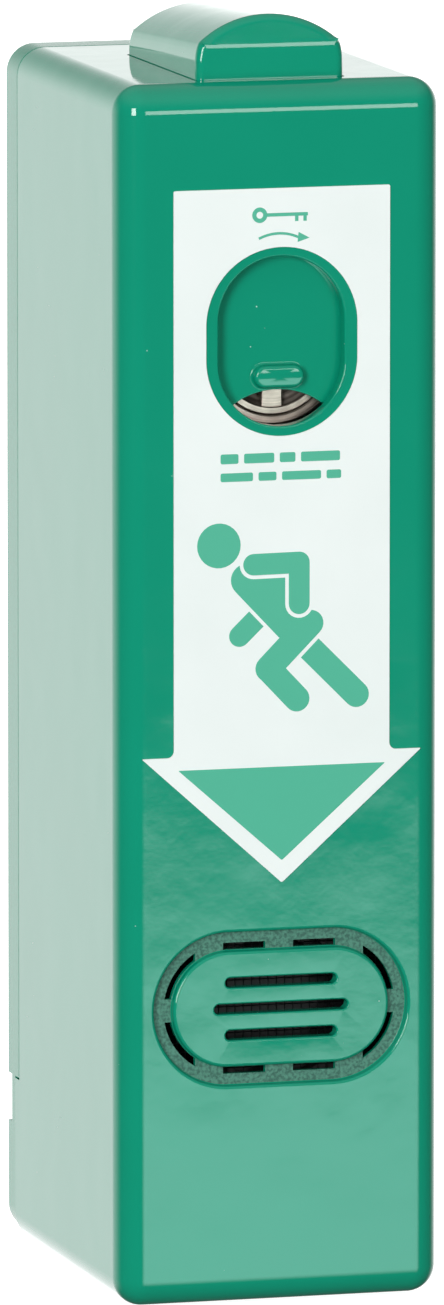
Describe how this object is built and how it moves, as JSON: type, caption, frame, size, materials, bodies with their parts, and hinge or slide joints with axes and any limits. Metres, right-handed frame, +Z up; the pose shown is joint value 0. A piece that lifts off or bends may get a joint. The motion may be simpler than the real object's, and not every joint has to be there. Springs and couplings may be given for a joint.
{
  "type": "exit door guard",
  "caption": "Box-shaped alarm guard for under an escape-door lever: slides down its door plate, with sprung top bumper, sliding lock window, key reset and sounder outlet.",
  "frame": {"origin": "centre of the mounting plate's flat back face, which lies against the door", "axes": "+Y into the door (the back face's outward normal), -Y towards the viewer, +Z up, +X to the viewer's right"},
  "size_m": [0.058, 0.0753, 0.2242],
  "materials": {
    "housing_green": "glossy moulded ABS, mid green",
    "plate_green": "satin-gloss moulded ABS, mid green",
    "label_film": "printed film label, white with green print",
    "lock_steel": "nickel-plated steel, turned and brushed",
    "white_acetal": "natural acetal",
    "black_rubber": "black rubber",
    "black_plastic": "black moulded plastic and fabric mesh",
    "circuit_laminate": "green solder resist",
    "battery_case": "printed steel can",
    "magnet_nickel": "nickel-plated magnet",
    "reed_glass": "reed switch glass",
    "red_wire": "red wire insulation",
    "black_wire": "black wire insulation",
    "spring_steel": "spring steel",
    "zinc_steel": "zinc-plated steel"
  },
  "bodies": {
    "base": {"armature_screw": "zinc_steel", "base_plate": "plate_green", "catch_armature": "zinc_steel", "end_stop_buffer": "black_rubber", "position_magnet": "magnet_nickel", "rail_screw_left_1": "zinc_steel", "rail_screw_left_2": "zinc_steel", "rail_screw_right_1": "zinc_steel", "rail_screw_right_2": "zinc_steel", "slide_rail_left": "zinc_steel", "slide_rail_right": "zinc_steel"},
    "guard": {"battery_9v": "battery_case", "battery_lead_black": "black_wire", "battery_lead_red": "red_wire", "battery_snap": "black_plastic", "bracket_screw_1": "zinc_steel", "bracket_screw_2": "zinc_steel", "bridge_screw_1": "zinc_steel", "bridge_screw_2": "zinc_steel", "bumper_bridge": "zinc_steel", "catch_magnet": "magnet_nickel", "circuit_board": "circuit_laminate", "front_housing": "housing_green", "front_label": "label_film", "grille_mesh": "black_plastic", "housing_screw_1": "zinc_steel", "housing_screw_2": "zinc_steel", "housing_screw_3": "zinc_steel", "housing_screw_4": "zinc_steel", "lock_body": "lock_steel", "lock_bracket": "zinc_steel", "lock_nut": "zinc_steel", "press_switch": "black_plastic", "rear_cover": "housing_green", "reed_switch_key": "reed_glass", "reed_switch_slide": "reed_glass", "shoe_screw_lower": "zinc_steel", "shoe_screw_upper": "zinc_steel", "slide_shoe_lower": "white_acetal", "slide_shoe_upper": "white_acetal", "sounder": "black_plastic", "sounder_gasket": "black_rubber", "sounder_lead_black": "black_wire", "sounder_lead_red": "red_wire", "sounder_screw_1": "zinc_steel", "sounder_screw_2": "zinc_steel"},
    "bumper": {"bumper_pin_front": "zinc_steel", "bumper_pin_rear": "zinc_steel", "bumper_spring_front": "spring_steel", "bumper_spring_rear": "spring_steel", "pin_clip_front": "spring_steel", "pin_clip_rear": "spring_steel", "top_bumper": "housing_green"},
    "cover": {"lock_cover": "housing_green"},
    "rotor": {"lock_rotor": "lock_steel", "cam_lever": "zinc_steel", "cam_screw": "zinc_steel"},
    "release": {"release_slide": "white_acetal", "release_magnet": "magnet_nickel"}
  },
  "joints": [
    {"name": "guard_slide", "type": "slide", "parent": "base", "child": "guard", "axis": [0, 0, -1], "range_m": [0, 0.04]},
    {"name": "bumper_press", "type": "slide", "parent": "guard", "child": "bumper", "axis": [0, 0, -1], "range_m": [0, 0.003], "stiffness_N_per_m": 1500, "deforming": ["bumper_spring_front", "bumper_spring_rear"]},
    {"name": "cover_slide", "type": "slide", "parent": "guard", "child": "cover", "axis": [0, 0, 1], "range_m": [0, 0.0175]},
    {"name": "reset_turn", "type": "hinge", "parent": "guard", "child": "rotor", "pos_m": [0, -0.05, 0.059], "axis": [0, 1, 0], "range_deg": [0, 90]},
    {"name": "release_slide_move", "type": "slide", "parent": "guard", "child": "release", "axis": [1, 0, 0], "range_m": [0, 0.00708]}
  ],
  "couplings": [
    {"joint": "release_slide_move", "follows": "reset_turn", "m_per_rad": 0.004502}
  ]
}
